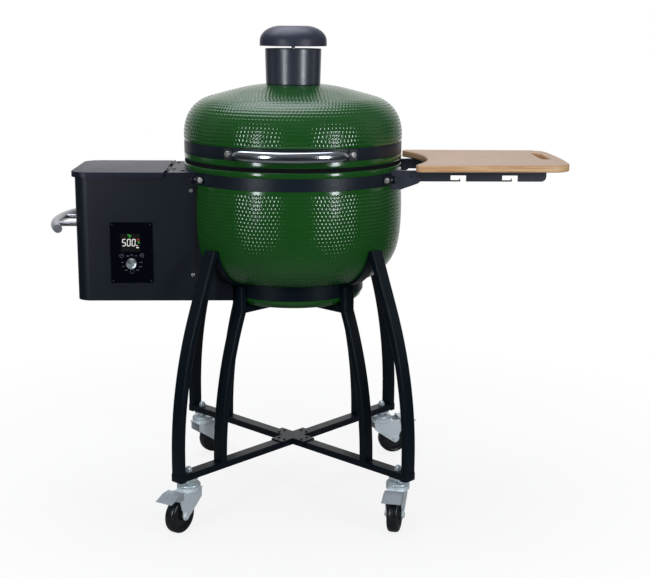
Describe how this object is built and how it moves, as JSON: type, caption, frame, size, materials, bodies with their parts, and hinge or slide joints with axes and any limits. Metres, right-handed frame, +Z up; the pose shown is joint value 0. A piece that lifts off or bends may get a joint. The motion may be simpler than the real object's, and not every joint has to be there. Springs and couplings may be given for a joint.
{
  "type": "kamado grill",
  "caption": "Egg-shaped ceramic kamado grill on a wheeled stand with a side pellet hopper, a folding shelf, a hinged lid and a chimney.",
  "frame": {"origin": "on the floor, on the vertical axis of the ceramic body", "axes": "+Z up, -Y to the front of the grill, +X towards the side shelf"},
  "size_m": [1.4188, 0.7721, 1.3375],
  "materials": {
    "green_glaze": "glossy dimpled glaze",
    "firebrick": "matt fired clay",
    "felt": "matt woven gasket",
    "black_steel": "satin powder coat",
    "grey_steel": "satin fine texture powder coat",
    "chrome": "polished",
    "stainless": "brushed",
    "zinc": "zinc plated",
    "cast_iron": "seasoned",
    "black_plastic": "glossy",
    "matte_black": "matt",
    "knob_metal": "spun",
    "tyre": "satin",
    "bamboo": "oiled bamboo"
  },
  "bodies": {
    "stand_and_base": {"base_shell": "green_glaze", "base_gasket": "felt", "base_band": "grey_steel", "hinge_base": "black_steel", "hinge_pin": "zinc", "hinge_springs": "stainless", "firebox": "firebrick", "fire_pot": "stainless", "heat_deflector": "stainless", "cooking_grate": "stainless", "hopper_shell": "grey_steel", "hopper_top_plate": "grey_steel", "hopper_hinge_pins": "zinc", "pellet_bin": "zinc", "hopper_handle": "chrome", "control_panel": "black_plastic", "hopper_screws": "zinc", "auger_tube": "zinc", "auger_motor": "black_steel", "fan_frame": "matte_black", "power_inlet": "matte_black", "outer_legs": "black_steel", "inner_legs": "black_steel", "cross_tubes": "black_steel", "stand_ring": "black_steel", "cradle_strips": "black_steel", "hub_bracket": "black_steel", "hub_screws": "zinc", "leg_shoes": "matte_black", "caster_stems": "zinc", "shelf_arms": "grey_steel", "base_bolts": "chrome"},
    "lid": {"lid_shell": "green_glaze", "lid_gasket": "felt", "lid_band": "grey_steel", "chimney": "grey_steel", "cap_rod": "stainless", "lid_handle": "chrome", "handle_mounts": "chrome", "handle_bolts": "chrome", "hinge_lid": "black_steel"},
    "rain_cap": {"chimney_cap": "grey_steel"},
    "hopper_lid": {"hopper_lid": "grey_steel"},
    "control_knob": {"control_knob": "knob_metal"},
    "auger": {"auger": "zinc"},
    "fan_rotor": {"fan_rotor": "matte_black"},
    "shelf": {"shelf_board": "bamboo", "shelf_rails": "grey_steel"},
    "front_left_fork": {"caster_front_left_fork": "zinc"},
    "front_left_wheel": {"caster_front_left_wheel": "tyre"},
    "front_left_pedal": {"caster_front_left_pedal": "black_steel"},
    "front_right_fork": {"caster_front_right_fork": "zinc"},
    "front_right_wheel": {"caster_front_right_wheel": "tyre"},
    "front_right_pedal": {"caster_front_right_pedal": "black_steel"},
    "back_right_fork": {"caster_back_right_fork": "zinc"},
    "back_right_wheel": {"caster_back_right_wheel": "tyre"},
    "back_right_pedal": {"caster_back_right_pedal": "black_steel"},
    "back_left_fork": {"caster_back_left_fork": "zinc"},
    "back_left_wheel": {"caster_back_left_wheel": "tyre"},
    "back_left_pedal": {"caster_back_left_pedal": "black_steel"}
  },
  "joints": [
    {"name": "lid_hinge", "type": "hinge", "parent": "stand_and_base", "child": "lid", "pos_m": [0, 0.348, 0.975], "axis": [-1, 0, 0], "range_deg": [0, 75]},
    {"name": "cap_lift", "type": "slide", "parent": "lid", "child": "rain_cap", "axis": [0, 0, 1], "range_m": [-0.0065, 0.012]},
    {"name": "hopper_lid_hinge", "type": "hinge", "parent": "stand_and_base", "child": "hopper_lid", "pos_m": [-0.34, -0.02, 0.9535], "axis": [0, 1, 0], "range_deg": [0, 100]},
    {"name": "knob_turn", "type": "hinge", "parent": "stand_and_base", "child": "control_knob", "pos_m": [-0.4365, -0.168, 0.708], "axis": [0, -1, 0], "continuous": true},
    {"name": "auger_spin", "type": "hinge", "parent": "stand_and_base", "child": "auger", "pos_m": [-0.3, 0, 0.694], "axis": [1, 0, 0], "continuous": true},
    {"name": "fan_spin", "type": "hinge", "parent": "stand_and_base", "child": "fan_rotor", "pos_m": [-0.4, 0.104, 0.655], "axis": [0, 1, 0], "continuous": true},
    {"name": "shelf_fold", "type": "hinge", "parent": "stand_and_base", "child": "shelf", "pos_m": [0.323, 0, 0.945], "axis": [0, 1, 0], "range_deg": [0, 90]},
    {"name": "front_left_swivel", "type": "hinge", "parent": "stand_and_base", "child": "front_left_fork", "pos_m": [-0.28426, -0.28426, 0.11], "axis": [0, 0, 1], "continuous": true},
    {"name": "front_left_roll", "type": "hinge", "parent": "front_left_fork", "child": "front_left_wheel", "pos_m": [-0.30713, -0.31948, 0.049], "axis": [0.8387, -0.5446, 0], "continuous": true},
    {"name": "front_left_brake", "type": "hinge", "parent": "front_left_fork", "child": "front_left_pedal", "pos_m": [-0.31748, -0.33542, 0.106], "axis": [0.8387, -0.5446, 0], "range_deg": [0, 12]},
    {"name": "front_right_swivel", "type": "hinge", "parent": "stand_and_base", "child": "front_right_fork", "pos_m": [0.28426, -0.28426, 0.11], "axis": [0, 0, 1], "continuous": true},
    {"name": "front_right_roll", "type": "hinge", "parent": "front_right_fork", "child": "front_right_wheel", "pos_m": [0.27339, -0.32483, 0.049], "axis": [0.9659, -0.2588, 0], "continuous": true},
    {"name": "front_right_brake", "type": "hinge", "parent": "front_right_fork", "child": "front_right_pedal", "pos_m": [0.26847, -0.34318, 0.106], "axis": [0.9659, -0.2588, 0], "range_deg": [0, 12]},
    {"name": "back_right_swivel", "type": "hinge", "parent": "stand_and_base", "child": "back_right_fork", "pos_m": [0.28426, 0.28426, 0.11], "axis": [0, 0, 1], "continuous": true},
    {"name": "back_right_roll", "type": "hinge", "parent": "back_right_fork", "child": "back_right_wheel", "pos_m": [0.32483, 0.29513, 0.049], "axis": [-0.2588, 0.9659, 0], "continuous": true},
    {"name": "back_right_brake", "type": "hinge", "parent": "back_right_fork", "child": "back_right_pedal", "pos_m": [0.34318, 0.30004, 0.106], "axis": [-0.2588, 0.9659, 0], "range_deg": [0, 12]},
    {"name": "back_left_swivel", "type": "hinge", "parent": "stand_and_base", "child": "back_left_fork", "pos_m": [-0.28426, 0.28426, 0.11], "axis": [0, 0, 1], "continuous": true},
    {"name": "back_left_roll", "type": "hinge", "parent": "back_left_fork", "child": "back_left_wheel", "pos_m": [-0.25208, 0.31125, 0.049], "axis": [-0.6428, 0.766, 0], "continuous": true},
    {"name": "back_left_brake", "type": "hinge", "parent": "back_left_fork", "child": "back_left_pedal", "pos_m": [-0.23753, 0.32347, 0.106], "axis": [-0.6428, 0.766, 0], "range_deg": [0, 12]}
  ]
}
